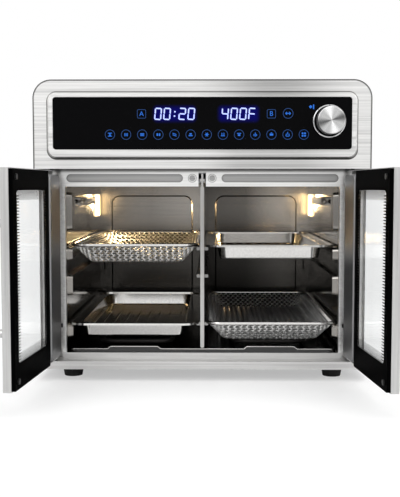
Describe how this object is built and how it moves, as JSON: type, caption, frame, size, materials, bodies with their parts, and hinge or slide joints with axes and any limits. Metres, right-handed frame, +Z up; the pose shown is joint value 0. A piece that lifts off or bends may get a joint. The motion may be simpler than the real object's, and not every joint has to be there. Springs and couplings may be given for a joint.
{
  "type": "toaster oven",
  "caption": "Counter-top dual-zone toaster oven with side-hinged glass doors, a touch panel with a knob, sliding baskets and pans, a crumb tray and a pull-out divider.",
  "frame": {"origin": "on the table, under the middle of the housing between the four feet", "axes": "+X to the right seen from the front, +Y to the back, +Z up"},
  "size_m": [0.4628, 0.5756, 0.3586],
  "materials": {
    "brushed_steel": "horizontal fine brushing, satin",
    "satin_steel": "satin steel sheet",
    "cavity_steel": "polished steel sheet",
    "tray_steel": "bright polished steel",
    "mesh_steel": "bright woven wire",
    "galvanised_sheet": "plain galvanised sheet",
    "control_panel": "black back-painted glass with a lit display",
    "circuit_board": "green circuit board",
    "black_plastic": "black moulded plastic",
    "knob_metal": "spun face, dark skirt",
    "trim_chrome": "bright plated",
    "heater_tube": "dark oxidised tube",
    "fan_aluminium": "plain pressed sheet",
    "motor_metal": "dark grey",
    "lamp_glass": "frosted, lit from behind",
    "black_rubber": "matt",
    "screw_steel": "plain",
    "door_black": "gloss black enamel",
    "door_glass": "grey tinted, ticked black border"
  },
  "bodies": {
    "oven": {"outer_wrap": "brushed_steel", "rear_cover": "galvanised_sheet", "base_pan": "galvanised_sheet", "bottom_sill": "brushed_steel", "front_fascia": "brushed_steel", "front_frame": "satin_steel", "control_glass": "control_panel", "display_board": "circuit_board", "encoder_body": "black_plastic", "knob_ring": "trim_chrome", "cavity_left_wall": "cavity_steel", "cavity_right_wall": "cavity_steel", "cavity_back_wall": "cavity_steel", "cavity_floor": "cavity_steel", "cavity_ceiling": "cavity_steel", "divider_guide": "galvanised_sheet", "cavity_brackets": "galvanised_sheet", "fan_shrouds": "galvanised_sheet", "fan_guards": "cavity_steel", "upper_heaters": "heater_tube", "lower_heaters": "heater_tube", "fan_motors": "motor_metal", "lamp_lenses": "lamp_glass", "lamp_units": "galvanised_sheet", "probe_guards": "cavity_steel", "temperature_probes": "cavity_steel", "power_board": "circuit_board", "cord_gland": "black_plastic", "rubber_feet": "black_rubber", "housing_screws": "screw_steel", "hinge_plates": "galvanised_sheet", "hinge_pins": "screw_steel", "door_bumpers": "black_rubber", "latch_magnets": "trim_chrome"},
    "left_door": {"left_door_shell": "brushed_steel", "left_door_glass": "door_glass", "left_door_panel": "door_black", "left_door_inner_glass": "door_glass", "left_door_hinge_cover": "satin_steel", "left_door_handle": "brushed_steel", "left_door_screws": "screw_steel"},
    "right_door": {"right_door_shell": "brushed_steel", "right_door_glass": "door_glass", "right_door_panel": "door_black", "right_door_inner_glass": "door_glass", "right_door_hinge_cover": "satin_steel", "right_door_handle": "brushed_steel", "right_door_screws": "screw_steel"},
    "knob": {"control_knob": "knob_metal", "encoder_shaft": "trim_chrome"},
    "left_fan": {"left_fan": "fan_aluminium"},
    "right_fan": {"right_fan": "fan_aluminium"},
    "left_basket": {"left_basket_rim": "tray_steel", "left_basket_mesh": "mesh_steel"},
    "right_basket": {"right_basket_rim": "tray_steel", "right_basket_mesh": "mesh_steel"},
    "left_pan": {"left_pan": "tray_steel"},
    "right_pan": {"right_pan": "tray_steel"},
    "crumb_tray": {"crumb_tray": "tray_steel"},
    "divider": {"divider": "cavity_steel"}
  },
  "joints": [
    {"name": "left_door_hinge", "type": "hinge", "parent": "oven", "child": "left_door", "pos_m": [-0.179, -0.195, 0.14], "axis": [0, 0, -1], "range_deg": [-95, 0]},
    {"name": "right_door_hinge", "type": "hinge", "parent": "oven", "child": "right_door", "pos_m": [0.179, -0.195, 0.14], "axis": [0, 0, 1], "range_deg": [-95, 0]},
    {"name": "knob_turn", "type": "hinge", "parent": "oven", "child": "knob", "pos_m": [0.149, -0.21, 0.30925], "axis": [0, -1, 0], "continuous": true},
    {"name": "left_fan_spin", "type": "hinge", "parent": "oven", "child": "left_fan", "pos_m": [-0.0835, -0.004, 0.27], "axis": [0, 0, 1], "continuous": true},
    {"name": "right_fan_spin", "type": "hinge", "parent": "oven", "child": "right_fan", "pos_m": [0.0835, -0.004, 0.27], "axis": [0, 0, 1], "continuous": true},
    {"name": "left_basket_slide", "type": "slide", "parent": "oven", "child": "left_basket", "axis": [0, -1, 0], "range_m": [0, 0.22]},
    {"name": "right_pan_slide", "type": "slide", "parent": "oven", "child": "right_pan", "axis": [0, -1, 0], "range_m": [0, 0.22]},
    {"name": "left_pan_slide", "type": "slide", "parent": "oven", "child": "left_pan", "axis": [0, -1, 0], "range_m": [-0.0255, 0.22]},
    {"name": "right_basket_slide", "type": "slide", "parent": "oven", "child": "right_basket", "axis": [0, -1, 0], "range_m": [-0.0255, 0.22]},
    {"name": "crumb_tray_slide", "type": "slide", "parent": "oven", "child": "crumb_tray", "axis": [0, -1, 0], "range_m": [0, 0.3]},
    {"name": "divider_slide", "type": "slide", "parent": "oven", "child": "divider", "axis": [0, -1, 0], "range_m": [0, 0.3]}
  ]
}
